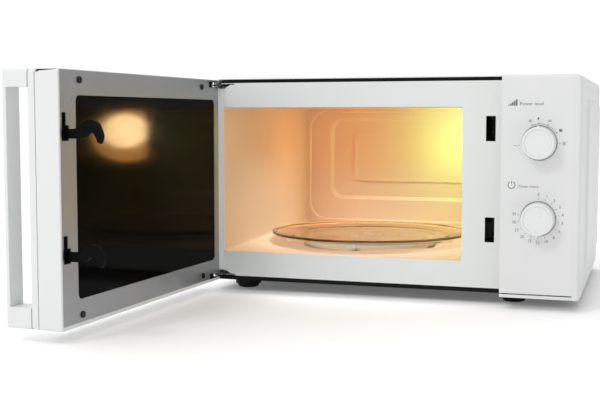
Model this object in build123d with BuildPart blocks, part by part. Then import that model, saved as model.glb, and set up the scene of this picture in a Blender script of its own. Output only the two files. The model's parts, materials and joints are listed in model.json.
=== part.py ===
from build123d import *
import os
from math import cos, radians, sin

os.makedirs("parts", exist_ok=True)

# Microwave oven, millimetres. X runs to the right, Y to the back and Z up from the surface
# under the feet. The origin is the middle of the case's footprint. The door stands open.

# Driving dimensions of the case
case_w, case_d, case_top = 440, 330, 260.5
base_z = 13
sheet = 1.0
tuck = 1.1
corner_r = 7
left, right = -case_w / 2, case_w / 2
front, back = -case_d / 2, case_d / 2
case_foot = base_z + 0.5
plate_low, plate_high = 18, 255.3

# Cavity: the front opening, and how much it narrows towards the back
cav_x = (left + 10.6, left + 305.6)
cav_z = (48.1, 225.7)
cav_back = front + 305
side_taper, floor_rise = 9, 8
pan_r, pan_z = 110, 45

# Turntable
spin_x, spin_y = left + 158, front + 150
plate_r, plate_z, rim_top = 130, 55.4, 64.2
roller_r, roller_track = 5, 93.5
roller_z = pan_z + roller_r + 0.2

# Door, measured along it (u), outward from its inner face (n) and up (z)
door_open = 92.1
hinge_x, hinge_y = left + 2.0, front - 5.0
hinge_inset = 3.5
door_u, door_z = (-2.3, 349.5), (13, 259)
door_t, frame_t, handle_t = 34, 25, 60.7
window_u, window_z = (11.5, 320.3), (39.5, 234.7)
screw_u, screw_z = (45.9, 313.5), (24.1, 249.3)
pin_r, bore_play, fit_gap = 1.5, 0.05, 0.1

# Latch hooks
hook_u = (333.2, 338.2)
hook_z = (189.5, 189.5 - 115.6)
hook_slot_h = 28.7

# Control panel and knobs
panel_x = (left + 354.2, right)
panel_y = front - 35.5
knob_x = left + 395.5
power_z, timer_z = 185.8, 103
shaft_r = 3.0

# Compartment beside the cavity
tube_y, tube_z = front + 190, 145
fan_x, fan_z = left + 377, 119


def middle(limits):
    """Middle of a pair of limits."""
    return (limits[0] + limits[1]) / 2


def span(limits):
    """Distance between a pair of limits."""
    return limits[1] - limits[0]


def block(x, y, z, mode=Mode.ADD):
    """Box between limits on each axis."""
    with Locations((middle(x), middle(y), middle(z))):
        Box(span(x), span(y), span(z), mode=mode)


def rod(start, direction, length, radius, mode=Mode.ADD):
    """Round bar from a point, along a direction."""
    with Locations(Plane(start, z_dir=direction)):
        Cylinder(radius, length, align=(Align.CENTER, Align.CENTER, Align.MIN), mode=mode)


def outline(plane, x, y, r):
    """Rounded rectangle between limits on a plane."""
    with BuildSketch(plane) as drawn:
        with Locations((middle(x), middle(y))):
            RectangleRounded(span(x), span(y), r)
    return drawn.sketch


def upright(y):
    """Plane across the oven at one depth, with X to the right and Z up."""
    return Plane.XZ.offset(-y)


def inset(limits, margin):
    """Limits drawn in by a margin at both ends."""
    return (limits[0] + margin, limits[1] - margin)


# ---------------------------------------------------------------- case and chassis

press_y, press_z = (front + 52, front + 302), (34, 236)
press_out, press_bevel = 3, 8


def pressed_outline(x, margin):
    """Outline of the pressed field of a side wall, at one X."""
    return outline(Plane.YZ.offset(x), inset(press_y, margin), inset(press_z, margin), 12)


with BuildPart() as outer_case:
    with BuildSketch(upright(front)) as wrap:
        with Locations((0, (case_foot + case_top) / 2)):
            Rectangle(case_w, case_top - case_foot)
        fillet(wrap.vertices().group_by(Axis.Y)[-1], corner_r)
    extrude(amount=-case_d)
    with BuildSketch(upright(front)) as hollow:
        with Locations((0, (case_top - sheet) / 2)):
            Rectangle(case_w - 2 * sheet, case_top - sheet)
        fillet(hollow.vertices().group_by(Axis.Y)[-1], corner_r - sheet)
    extrude(amount=-case_d, mode=Mode.SUBTRACT)
    for side in (-1, 1):
        wall_x = side * case_w / 2
        loft(
            [
                pressed_outline(wall_x - side * 0.5, 0),
                pressed_outline(wall_x + side * press_out, press_bevel),
            ]
        )
        loft(
            [
                pressed_outline(wall_x - side * 1.5, 1),
                pressed_outline(wall_x + side * (press_out - 1), press_bevel + 1),
            ],
            mode=Mode.SUBTRACT,
        )
outer_case.part.label = "outer_case"
export_step(outer_case.part, "parts/outer_case.step")

foot_spots = [
    (left + 30, front + 33),
    (left + 363, front + 30),
    (left + 30, back - 33),
    (left + 408, back - 33),
]
foot_stem_r = 4
base_x = (left + tuck, right - tuck)
base_y = (front, back - 3.1)

with BuildPart() as base_plate:
    block(base_x, base_y, (base_z, base_z + sheet))
    block(base_x, (front, front + sheet), (base_z, plate_low))
    for wall in ((base_x[0], base_x[0] + sheet), (base_x[1] - sheet, base_x[1])):
        block(wall, (front + 14, back - 4), (base_z, base_z + 9))
    block((left + 268, left + 312), (front + 24, front + 60), (base_z - 3.5, base_z + 0.5))
    block(
        (left + 269.2, left + 310.8),
        (front + 25.2, front + 58.8),
        (base_z - 2.5, base_z + sheet),
        Mode.SUBTRACT,
    )
    for x, y in foot_spots:
        rod((x, y, base_z - 1), (0, 0, 1), 4, foot_stem_r + 0.1, Mode.SUBTRACT)
    with BuildSketch(Plane.XY.offset(base_z - 1)):
        with Locations((left + 367, front + 190), (left + 110, front + 150)):
            with GridLocations(9, 24, 7, 3):
                SlotOverall(20, 3.5, rotation=90)
    extrude(amount=4, mode=Mode.SUBTRACT)
base_plate.part.label = "base_plate"
export_step(base_plate.part, "parts/base_plate.step")

with BuildPart() as feet:
    for x, y in foot_spots:
        rod((x, y, 0), (0, 0, 1), 9, 13.5)
        rod((x, y, 5), (0, 0, 1), base_z - 5, 16)
        rod((x, y, base_z), (0, 0, 1), 5, foot_stem_r)
    rims = feet.edges().filter_by(GeomType.CIRCLE).filter_by(lambda e: e.radius > 13)
    fillet(rims.group_by(Axis.Z)[0], 4)
feet.part.label = "feet"
export_step(feet.part, "parts/feet.step")

panel_back_y = (back - 3, back - 2)
gland_x, gland_z = left + 405, 42
gland_r, cord_r = 8, 3.6
case_screw_spots = [(x, z) for x in (left + 14, right - 14) for z in (45, 200)]
case_screw_spots += [(left + 120, 250), (left + 300, 250)]
case_screw_r = 1.8

with BuildPart() as back_panel:
    block((left + tuck, right - tuck), panel_back_y, (base_z, case_top - tuck))
    fillet(back_panel.edges().filter_by(Axis.Y).group_by(Axis.Z)[-1], corner_r - sheet)
    with BuildSketch(upright(back - 5)):
        with Locations((fan_x, fan_z)):
            with GridLocations(33, 8, 3, 12):
                SlotOverall(29, 3.5)
        with Locations((left + 90, 120)):
            with GridLocations(33, 8, 3, 8):
                SlotOverall(29, 3.5)
        with Locations((gland_x, gland_z)):
            Circle(gland_r + fit_gap)
        with Locations(case_screw_spots):
            Circle(case_screw_r + fit_gap)
    extrude(amount=-6, mode=Mode.SUBTRACT)
back_panel.part.label = "back_panel"
export_step(back_panel.part, "parts/back_panel.step")

with BuildPart() as cord_gland:
    rod((gland_x, back - 9, gland_z), (0, 1, 0), 9, gland_r)
    rod((gland_x, back - 2, gland_z), (0, 1, 0), 2.5, gland_r + 3)
    rod((gland_x, back - 4.5, gland_z), (0, -1, 0), 2, gland_r + 1.5)
    rod((gland_x, back - 20, gland_z), (0, 1, 0), 30, cord_r, Mode.SUBTRACT)
cord_gland.part.label = "cord_gland"
export_step(cord_gland.part, "parts/cord_gland.step")

with BuildPart() as case_screws:
    for x, z in case_screw_spots:
        rod((x, back - 8, z), (0, 1, 0), 6, case_screw_r)
        rod((x, back - 2, z), (0, 1, 0), 1.7, 4)
    rims = case_screws.edges().filter_by(GeomType.CIRCLE).filter_by(lambda e: e.radius > 3.5)
    fillet(rims.group_by(Axis.Y)[-1], 1)
    for x, z in case_screw_spots:
        for arm_x, arm_z in ((2.4, 0.5), (0.5, 2.4)):
            block((x - arm_x, x + arm_x), (back - 1.2, back), (z - arm_z, z + arm_z), Mode.SUBTRACT)
case_screws.part.label = "case_screws"
export_step(case_screws.part, "parts/case_screws.step")

latch_slot_x = (left + 332.2, left + 343.1)
latch_slots_z = [(z - 3.0, z - 3.0 + hook_slot_h) for z in hook_z]
front_y = (front, front + sheet)

with BuildPart() as front_plate:
    block((left + tuck, right - tuck), front_y, (plate_low, plate_high))
    fillet(front_plate.edges().filter_by(Axis.Y).group_by(Axis.Z)[-1], corner_r - 3)
    for flange_z in ((plate_low, plate_low + sheet), (plate_high - sheet, plate_high)):
        block((left + 6, right - 6), (front + sheet, front + 12), flange_z)
    for wall in ((left + tuck, left + tuck + sheet), (right - tuck - sheet, right - tuck)):
        block(wall, (front + sheet, front + 12), (plate_low + 4, plate_high - 4))
    block(cav_x, (front - 1, front + 2), cav_z, Mode.SUBTRACT)
    for slot_z in latch_slots_z:
        block(latch_slot_x, (front - 1, front + 2), slot_z, Mode.SUBTRACT)
    block((left + 363, left + 431), (front - 1, front + 2), (62, 226), Mode.SUBTRACT)
    for edge_z, run in ((plate_high, -6.8), (plate_low, 6.8)):
        with BuildSketch(upright(front - 1)):
            with BuildLine():
                Polyline(
                    (left, edge_z - run / 5), (left + 25, edge_z - run / 5),
                    (left + 12, edge_z + run), (left, edge_z + run), close=True,
                )
            make_face()
        extrude(amount=-2, mode=Mode.SUBTRACT)
        block((left, left + 3), (front, front + 13), sorted((edge_z - run / 5, edge_z + run)), Mode.SUBTRACT)
        notch_z = sorted((edge_z - run / 5, edge_z + 0.3 * run))
        block((left, left + 25), (front, front + 4), notch_z, Mode.SUBTRACT)
front_plate.part.label = "front_plate"
export_step(front_plate.part, "parts/front_plate.step")

with BuildPart() as top_seal:
    block((left + 9, right - 9), (front + 4.2, front + 10), (plate_high, case_top - sheet))
top_seal.part.label = "top_seal"
export_step(top_seal.part, "parts/top_seal.step")

# ---------------------------------------------------------------- cavity


def cavity_outline(y, margin, r):
    """Cavity section at one depth, drawn in by a margin; it narrows towards the back."""
    share = (y - front) / (cav_back - front)
    x = (cav_x[0] + share * side_taper, cav_x[1])
    z = (cav_z[0] + share * floor_rise, cav_z[1])
    return outline(upright(y), inset(x, margin), inset(z, margin), r)


port_y, port_z = (front + 150, front + 230), (122, 152)
# Corner radius of the cavity's walls, at the front and at the back
wall_bends = {front + sheet: 3, cav_back: 5}

with BuildPart() as cavity_shell:
    loft([cavity_outline(y, -sheet, r + sheet) for y, r in wall_bends.items()])
    rod((spin_x, spin_y, pan_z - sheet), (0, 0, 1), 12, pan_r + sheet)
    loft([cavity_outline(y, 0, r) for y, r in wall_bends.items()], mode=Mode.SUBTRACT)
    rod((spin_x, spin_y, pan_z), (0, 0, 1), 16, pan_r, Mode.SUBTRACT)
    rod((spin_x, spin_y, pan_z - 3), (0, 0, 1), 6, 9, Mode.SUBTRACT)
    block((cav_x[1] - 2, cav_x[1] + 3), port_y, port_z, Mode.SUBTRACT)
    with BuildSketch(Plane.YZ.offset(cav_x[1] - 3)):
        with Locations((front + 240, 203)):
            with GridLocations(6.5, 6.5, 5, 4):
                Circle(2)
    extrude(amount=8, mode=Mode.SUBTRACT)
    with BuildSketch(Plane.XY.offset(cav_z[1] - 3)):
        with Locations((left + 70, front + 250)):
            with GridLocations(6.5, 6.5, 6, 4):
                Circle(2)
    extrude(amount=8, mode=Mode.SUBTRACT)
cavity_shell.part.label = "cavity_shell"
export_step(cavity_shell.part, "parts/cavity_shell.step")

back_x = (cav_x[0] + side_taper - sheet, cav_x[1] + sheet)
back_z = (cav_z[0] + floor_rise - sheet, cav_z[1] + sheet)
# Each pressed step of the back wall: limits in X and Z, corner radius, depth and bevel
back_steps = [
    ((left + 24.5, left + 299), (61, 222), 26, 2.0, 2.0),
    ((left + 56, left + 284), (92, 212), 18, 4.0, 5.0),
]
ridge_x, ridge_z = (left + 92, left + 272), (119, 190)

with BuildPart() as cavity_back:
    block(back_x, (cav_back, cav_back + sheet), back_z)
    depth = 0
    for x, z, r, step, bevel in back_steps:
        start, end = cav_back + depth, cav_back + depth + step
        loft([
            outline(upright(start + 0.5), inset(x, -sheet), inset(z, -sheet), r + sheet),
            outline(
                upright(end + sheet),
                inset(x, bevel - sheet),
                inset(z, bevel - sheet),
                r - bevel / 2 + sheet,
            ),
        ])
        depth += step
    depth = 0
    for x, z, r, step, bevel in back_steps:
        start, end = cav_back + depth, cav_back + depth + step
        loft([
            outline(upright(start), x, z, r),
            outline(upright(end), inset(x, bevel), inset(z, bevel), r - bevel / 2),
        ], mode=Mode.SUBTRACT)
        depth += step
    ridge_y = cav_back + depth
    extrude(outline(upright(ridge_y), ridge_x, ridge_z, 9), amount=1.6)
    ridge_top = outline(upright(ridge_y - 1.6), inset(ridge_x, 4), inset(ridge_z, 4), 6)
    extrude(ridge_top, amount=-1.6, mode=Mode.SUBTRACT)
cavity_back.part.label = "cavity_back"
export_step(cavity_back.part, "parts/cavity_back.step")

guide_x = (cav_x[1] + sheet, cav_x[1] + sheet + 20)
guide_y, guide_z = (front + 140, front + 250), (105, 176)

with BuildPart() as waveguide:
    block(guide_x, guide_y, guide_z)
    block((guide_x[0], guide_x[1] - sheet), inset(guide_y, sheet), inset(guide_z, sheet), Mode.SUBTRACT)
    rod((guide_x[1] - 5, tube_y, tube_z), (1, 0, 0), 10, 11, Mode.SUBTRACT)
waveguide.part.label = "waveguide"
export_step(waveguide.part, "parts/waveguide.step")

with BuildPart() as waveguide_cover:
    block((cav_x[1] - 0.6, cav_x[1]), inset(port_y, -6), inset(port_z, -6))
waveguide_cover.part.label = "waveguide_cover"
export_step(waveguide_cover.part, "parts/waveguide_cover.step")

# ---------------------------------------------------------------- microwave source

yoke_x = (guide_x[1], guide_x[1] + 62)
anode_r = 18

with BuildPart() as magnetron_body:
    block(yoke_x, (tube_y - 40, tube_y + 40), (tube_z - 38, tube_z + 38))
    block(inset(yoke_x, 1.5), (tube_y - 38.5, tube_y + 38.5), (tube_z - 39, tube_z + 39), Mode.SUBTRACT)
    rod((yoke_x[0] + 1, tube_y, tube_z), (1, 0, 0), span(yoke_x) - 2, anode_r)
    rod((yoke_x[0] - 15, tube_y, tube_z), (1, 0, 0), 17, 8)
magnetron_body.part.label = "magnetron_body"
export_step(magnetron_body.part, "parts/magnetron_body.step")

with BuildPart() as magnetron_fins:
    for k in range(6):
        fin_x = yoke_x[0] + 10 + 8 * k
        block((fin_x, fin_x + 0.8), (tube_y - 36, tube_y + 36), (tube_z - 35, tube_z + 35))
    rod((yoke_x[0], tube_y, tube_z), (1, 0, 0), 70, anode_r + fit_gap, Mode.SUBTRACT)
magnetron_fins.part.label = "magnetron_fins"
export_step(magnetron_fins.part, "parts/magnetron_fins.step")

filter_x = (yoke_x[1], yoke_x[1] + 34)

with BuildPart() as magnetron_filter_box:
    block(filter_x, (tube_y - 27, tube_y + 27), (tube_z - 28, tube_z + 28))
    block(inset(filter_x, 1), (tube_y - 26, tube_y + 26), (tube_z - 27, tube_z + 27), Mode.SUBTRACT)
    rod((middle(filter_x), tube_y, tube_z - 30), (0, 0, 1), 8, 4, Mode.SUBTRACT)
magnetron_filter_box.part.label = "magnetron_filter_box"
export_step(magnetron_filter_box.part, "parts/magnetron_filter_box.step")

floor_z = base_z + sheet
core_x, core_y, core_z = (left + 322, left + 412), (front + 62, front + 142), (floor_z, 88)
leg_x, winding_h = (left + 352, left + 382), (30, 72)

with BuildPart() as transformer_core:
    block(core_x, core_y, core_z)
    for window in ((left + 336.8, leg_x[0]), (leg_x[1], left + 397.2)):
        block(window, inset(core_y, -1), winding_h, Mode.SUBTRACT)
transformer_core.part.label = "transformer_core"
export_step(transformer_core.part, "parts/transformer_core.step")

with BuildPart() as transformer_windings:
    for coil_z in ((30.5, 50), (52, 71.5)):
        block((left + 337, left + 397), inset(core_y, -8), coil_z)
        block(leg_x, core_y, coil_z, Mode.SUBTRACT)
transformer_windings.part.label = "transformer_windings"
export_step(transformer_windings.part, "parts/transformer_windings.step")

can_x, can_y, can_z = left + 345, front + 242, (floor_z, 84)

with BuildPart() as hv_capacitor:
    with BuildSketch(Plane.XY.offset(can_z[0])):
        with Locations((can_x, can_y)):
            SlotOverall(52, 32)
    extrude(amount=span(can_z))
    fillet(hv_capacitor.faces().sort_by(Axis.Z)[-1].edges(), 2)
    for shift in (-10, 10):
        rod((can_x + shift, can_y, can_z[1] - 1), (0, 0, 1), 7, 2.5)
hv_capacitor.part.label = "hv_capacitor"
export_step(hv_capacitor.part, "parts/hv_capacitor.step")

with BuildPart() as hv_diode:
    rod((left + 385, front + 250, floor_z + 4), (0, 1, 0), 18, 3.5)
    block((left + 381.5, left + 388.5), (front + 255, front + 263), (floor_z, floor_z + 4))
hv_diode.part.label = "hv_diode"
export_step(hv_diode.part, "parts/hv_diode.step")

# ---------------------------------------------------------------- cooling fan and lamp

duct_x, duct_y, duct_z = (left + 318, left + 436), (front + 296, back - 5), (60, 178)
duct_r, blade_r = 48, 46
fan_shaft_r = 2

with BuildPart() as fan_duct:
    block(duct_x, duct_y, duct_z)
    rod((fan_x, duct_y[0] - 1, fan_z), (0, 1, 0), 40, duct_r, Mode.SUBTRACT)
    block((fan_x - 7, fan_x + 7), (duct_y[0], duct_y[0] + 4), (fan_z - 50, fan_z + 50))
    rod((fan_x, duct_y[0] - 1, fan_z), (0, 1, 0), 6, 4, Mode.SUBTRACT)
fan_duct.part.label = "fan_duct"
export_step(fan_duct.part, "parts/fan_duct.step")

with BuildPart() as fan_motor:
    block((fan_x - 30, fan_x + 30), (front + 268, front + 288), (fan_z - 26, fan_z + 26))
    block((fan_x - 14, fan_x + 14), (front + 262, front + 294), (fan_z - 44, fan_z - 26))
    rod((fan_x, front + 262, fan_z), (0, 1, 0), 30, 12)
    for shift in (-22, 22):
        rod((fan_x, front + 288, fan_z + shift), (0, 1, 0), 8, 3)
    rod((fan_x, front + 264, fan_z), (0, 1, 0), 40, fan_shaft_r + bore_play, Mode.SUBTRACT)
fan_motor.part.label = "fan_motor"
export_step(fan_motor.part, "parts/fan_motor.step")

fan_y = front + 311
blade_pitch, blade_count = 35, 5

with BuildPart() as fan_impeller:
    rod((fan_x, front + 266, fan_z), (0, 1, 0), 40, fan_shaft_r)
    rod((fan_x, fan_y - 8, fan_z), (0, 1, 0), 12, 13)
    for k in range(blade_count):
        turn = radians(k * 360 / blade_count + 18)
        outward = Vector(cos(turn), 0, sin(turn))
        around = Vector(-sin(turn), 0, cos(turn))
        normal = Vector(0, 1, 0) * cos(radians(blade_pitch)) + around * sin(radians(blade_pitch))
        middle_point = Vector(fan_x, fan_y - 2, fan_z) + outward * 28.5
        with Locations(Plane(middle_point, x_dir=outward, z_dir=normal)):
            Box(34, 18, 1.6)
fan_impeller.part.label = "fan_impeller"
export_step(fan_impeller.part, "parts/fan_impeller.step")

lamp_y, lamp_z = front + 240, 203

with BuildPart() as lamp_holder:
    block((left + 334, left + 352), (lamp_y - 14, lamp_y + 14), (lamp_z - 13, lamp_z + 13))
    rod((left + 330, lamp_y, lamp_z), (1, 0, 0), 12, 7.1, Mode.SUBTRACT)
    block((cav_x[1] + sheet, left + 334), (lamp_y + 14, lamp_y + 15.2), (lamp_z - 11, lamp_z + 11))
    block((left + 332.8, left + 334), (lamp_y + 10, lamp_y + 15.2), (lamp_z - 11, lamp_z + 11))
lamp_holder.part.label = "lamp_holder"
export_step(lamp_holder.part, "parts/lamp_holder.step")

with BuildPart() as lamp_bulb:
    rod((left + 312, lamp_y, lamp_z), (1, 0, 0), 18, 9)
    fillet(lamp_bulb.edges().filter_by(GeomType.CIRCLE).group_by(Axis.X)[0], 8.5)
    rod((left + 330, lamp_y, lamp_z), (1, 0, 0), 11.9, 7)
lamp_bulb.part.label = "lamp_bulb"
export_step(lamp_bulb.part, "parts/lamp_bulb.step")

# ---------------------------------------------------------------- turntable

with BuildPart() as turntable_motor:
    rod((spin_x, spin_y, 25), (0, 0, 1), pan_z - sheet - 25, 25)
    for side in (-1, 1):
        block(
            (spin_x + side * 30 - 7, spin_x + side * 30 + 7), (spin_y - 6, spin_y + 6),
            (pan_z - sheet - 1.5, pan_z - sheet),
        )
    rod((spin_x, spin_y, 31), (0, 0, 1), 40, shaft_r + bore_play, Mode.SUBTRACT)
turntable_motor.part.label = "turntable_motor"
export_step(turntable_motor.part, "parts/turntable_motor.step")

hub_z = (pan_z + 1, plate_z)

with BuildPart() as turntable_coupler:
    rod((spin_x, spin_y, 32), (0, 0, 1), hub_z[0] - 32, shaft_r)
    rod((spin_x, spin_y, hub_z[0]), (0, 0, 1), span(hub_z), 9)
    with BuildSketch(Plane.XY.offset(hub_z[0] + 4)):
        with Locations((spin_x, spin_y)):
            with PolarLocations(11, 3):
                Rectangle(10, 6)
    extrude(amount=hub_z[1] - hub_z[0] - 4)
turntable_coupler.part.label = "turntable_coupler"
export_step(turntable_coupler.part, "parts/turntable_coupler.step")

with BuildPart() as turntable_plate:
    with BuildSketch(Plane((spin_x, spin_y, 0), x_dir=(1, 0, 0), z_dir=(0, -1, 0))):
        with BuildLine():
            Polyline(
                (0, plate_z), (103, plate_z), (108, plate_z + 1.2), (plate_r - 3, plate_z + 4.6),
                (plate_r, plate_z + 6.2), (plate_r, rim_top), (plate_r - 3.6, rim_top),
                (plate_r - 6, plate_z + 6.8), (107, plate_z + 4.8), (101, plate_z + 3.8), (0, plate_z + 3.8),
                close=True,
            )
        make_face()
    revolve(axis=Axis((spin_x, spin_y, 0), (0, 0, 1)))
    rims = turntable_plate.edges().filter_by(GeomType.CIRCLE).group_by(Axis.Z)[-1]
    fillet(rims, 1.4)
    for k in range(3):
        turn = radians(60 + 120 * k)
        rod((spin_x + 14 * cos(turn), spin_y + 14 * sin(turn), plate_z - 4), (0, 0, 1), 4.5, 2.6)
turntable_plate.part.label = "turntable_plate"
export_step(turntable_plate.part, "parts/turntable_plate.step")

roller_turns = (30, 150, 270)
ring_r, axle_r = (78, 86), 2.4


def roller_direction(turn):
    """Unit vector from the turntable's centre towards a roller."""
    return Vector(cos(radians(turn)), sin(radians(turn)), 0)


with BuildPart() as roller_ring:
    centre = Vector(spin_x, spin_y, roller_z)
    rod((spin_x, spin_y, roller_z - 2.2), (0, 0, 1), 4.4, ring_r[1])
    rod((spin_x, spin_y, roller_z - 3), (0, 0, 1), 6, ring_r[0], Mode.SUBTRACT)
    rod((spin_x, spin_y, roller_z - 2.2), (0, 0, 1), 4.4, 26)
    rod((spin_x, spin_y, roller_z - 3), (0, 0, 1), 6, 21, Mode.SUBTRACT)
    for turn in roller_turns:
        outward = roller_direction(turn)
        with Locations(Plane(centre + outward * 52.5, x_dir=outward, z_dir=(0, 0, 1))):
            Box(56, 7, 3.6)
        rod(centre + outward * 84, outward, 16.5, axle_r)
        rod(centre + outward * 99, outward, 1.5, 3.6)
roller_ring.part.label = "roller_ring"
export_step(roller_ring.part, "parts/roller_ring.step")

for number, turn in enumerate(roller_turns, start=1):
    outward = roller_direction(turn)
    with BuildPart() as roller:
        rod(centre + outward * (roller_track - 4.5), outward, 9, roller_r)
        fillet(roller.edges(), 1)
        rod(centre + outward * (roller_track - 10), outward, 20, axle_r + bore_play, Mode.SUBTRACT)
    roller.part.label = f"roller_{number}"
    export_step(roller.part, f"parts/roller_{number}.step")

# ---------------------------------------------------------------- latch board, switches and levers

board_x = (left + 326, left + 350.5)
side_wall_x = (left + 347.5, board_x[1])
lever_y, lever_axle_r = front + 44, 1.2
lever_axle_z = [z + 31 for z in hook_z]

with BuildPart() as latch_board:
    block(board_x, (front + sheet, front + 7), (58, 228))
    block(side_wall_x, (front + 7, front + 50), (58, 228))
    for slot_z in latch_slots_z:
        block((left + 331.2, left + 347), (front, front + 8), inset(slot_z, -0.8), Mode.SUBTRACT)
    for z in hook_z:
        block((left + 333, side_wall_x[0]), (front + 12, front + 30), (z - 9, z - 0.6))
    for z in lever_axle_z:
        rod((side_wall_x[0] - 1, lever_y, z), (1, 0, 0), 6, lever_axle_r + bore_play, Mode.SUBTRACT)
latch_board.part.label = "latch_board"
export_step(latch_board.part, "parts/latch_board.step")

switch_spots = [(front + 16, 201), (front + 16, 165), (front + 16, 86)]

with BuildPart() as door_switches:
    for y, z in switch_spots:
        block((board_x[1], board_x[1] + 6.4), (y, y + 20), (z - 8, z + 8))
        block((board_x[1] + 2.2, board_x[1] + 4.2), (y + 20, y + 21.5), (z - 4, z - 1))
door_switches.part.label = "door_switches"
export_step(door_switches.part, "parts/door_switches.step")

for name, z in zip(("upper", "lower"), lever_axle_z):
    with BuildPart() as lever:
        rod((left + 333, lever_y, z), (1, 0, 0), side_wall_x[1] - left - 333, lever_axle_r)
        rod((left + 333, lever_y, z), (1, 0, 0), 14, 2.4)
        block((left + 334, left + 346), (lever_y - 0.6, lever_y + 0.6), (z - 32, z))
    lever.part.label = f"{name}_switch_lever"
    export_step(lever.part, f"parts/{name}_switch_lever.step")

# ---------------------------------------------------------------- mains filter and wiring

board_back = back - 13

with BuildPart() as filter_board:
    block((left + 345, left + 428), (board_back - 1.6, board_back), (190, 250))
    for x in (left + 350, left + 423):
        for z in (195, 245):
            rod((x, board_back - 0.5, z), (0, 1, 0), 10.5, 3)
    rod((left + 365, board_back - 1, 210), (0, -1, 0), 14, 9)
    rod((left + 365, board_back, 210), (0, -1, 0), 20, 4, Mode.SUBTRACT)
    block((left + 382, left + 400), (board_back - 12, board_back - 1), (205, 225))
    rod((left + 408, board_back - 5, 206), (0, 0, 1), 22, 3.2)
    block((left + 406.5, left + 409.5), (board_back - 5, board_back - 1), (206, 228))
filter_board.part.label = "filter_board"
export_step(filter_board.part, "parts/filter_board.step")

wire_r = 1.3
wire_routes = [
    [(406, 190, 125), (406, 190, 101), (406, 118, 101), (406, 118, 88)],
    [(355, 242, 90), (355, 242, 99), (355, 222, 99), (330, 222, 99), (330, 118, 99), (330, 118, 88)],
    [(410, 315.4, 238), (410, 12, 238), (410, 12, 212)],
]

with BuildPart() as wiring_harness:
    for route in wire_routes:
        points = [Vector(left + x, front + y, z) for x, y, z in route]
        for start, end in zip(points, points[1:]):
            rod(start, end - start, (end - start).length, wire_r)
        with Locations(points[1:-1]):
            Sphere(wire_r)
wiring_harness.part.label = "wiring_harness"
export_step(wiring_harness.part, "parts/wiring_harness.step")

# ---------------------------------------------------------------- control panel

panel_z = (14.4, case_top)
panel_skin = 2.5
strip_x = (right - 7.5, right)
trim_z = (panel_z[0], 17.8)
gap_top = 19.3
dials = {"power": (power_z, 1), "timer": (timer_z, -1)}
well_r, well_depth, well_wall = 19.4, 2.6, 2.4
inside_y = panel_y + well_depth + well_wall

with BuildPart() as control_panel:
    with BuildSketch(upright(panel_y)) as face:
        with Locations((middle(panel_x), middle(panel_z))):
            Rectangle(span(panel_x), span(panel_z))
        fillet(face.vertices().sort_by(Axis.Y)[-2:].sort_by(Axis.X)[-1], corner_r)
    extrude(amount=-(front - panel_y))
    front_edges = control_panel.faces().sort_by(Axis.Y)[0].edges()
    right_edges = front_edges.filter_by(lambda e: e.center().X > right - 3)
    fillet(right_edges, 5)
    block(
        inset(panel_x, panel_skin),
        (panel_y + panel_skin, front + 1),
        (panel_z[0] - 1, case_top - 3),
        Mode.SUBTRACT,
    )
    block((panel_x[0] - 1, strip_x[0]), (panel_y - 1, front + 1), (panel_z[0] - 1, gap_top), Mode.SUBTRACT)
    block(
        (strip_x[0], strip_x[0] + 0.6),
        (panel_y - 1, panel_y + 0.3),
        (panel_z[0] - 1, case_top + 1),
        Mode.SUBTRACT,
    )
    for z, _ in dials.values():
        rod((knob_x, panel_y + 1, z), (0, 1, 0), inside_y - panel_y - 1, well_r + well_wall)
        rod((knob_x, panel_y - 1, z), (0, 1, 0), well_depth + 1, well_r, Mode.SUBTRACT)
        rod((knob_x, panel_y, z), (0, 1, 0), 8, shaft_r + 1, Mode.SUBTRACT)
control_panel.part.label = "control_panel"
export_step(control_panel.part, "parts/control_panel.step")

with BuildPart() as panel_trim:
    block((panel_x[0], strip_x[0] - 0.2), (panel_y + 0.4, front), trim_z)
    block((panel_x[0] + 8, right - 8), (panel_y + 6, front), (trim_z[1], 24))
panel_trim.part.label = "panel_trim"
export_step(panel_trim.part, "parts/panel_trim.step")

with BuildPart() as power_selector:
    block((knob_x - 21, knob_x + 21), (inside_y, front + 16), (power_z - 24, power_z + 26.2))
    rod((knob_x, panel_y, power_z), (0, 1, 0), 44, shaft_r + bore_play, Mode.SUBTRACT)
power_selector.part.label = "power_selector"
export_step(power_selector.part, "parts/power_selector.step")

with BuildPart() as timer_unit:
    block((knob_x - 23, knob_x + 23), (inside_y, front + 20), (timer_z - 26, timer_z + 26))
    rod((knob_x + 4, front + 20, timer_z + 4), (0, 1, 0), 9, 17)
    rod((knob_x, panel_y, timer_z), (0, 1, 0), 44, shaft_r + bore_play, Mode.SUBTRACT)
timer_unit.part.label = "timer_unit"
export_step(timer_unit.part, "parts/timer_unit.step")

# Knobs: a dished face, a hollow back and a hub on the shaft, with a pointer rib on the rim
knob_base_y = panel_y + 2
knob_face_y = panel_y - 17.4
knob_base_r, knob_r, rim_r, dish_r = 18.3, 17.5, 16.1, 14.8
dish_depth, knob_hollow, hub_r = 1.5, 14, 6
hollow_r, shaft_grip = 15.6, 12

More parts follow.
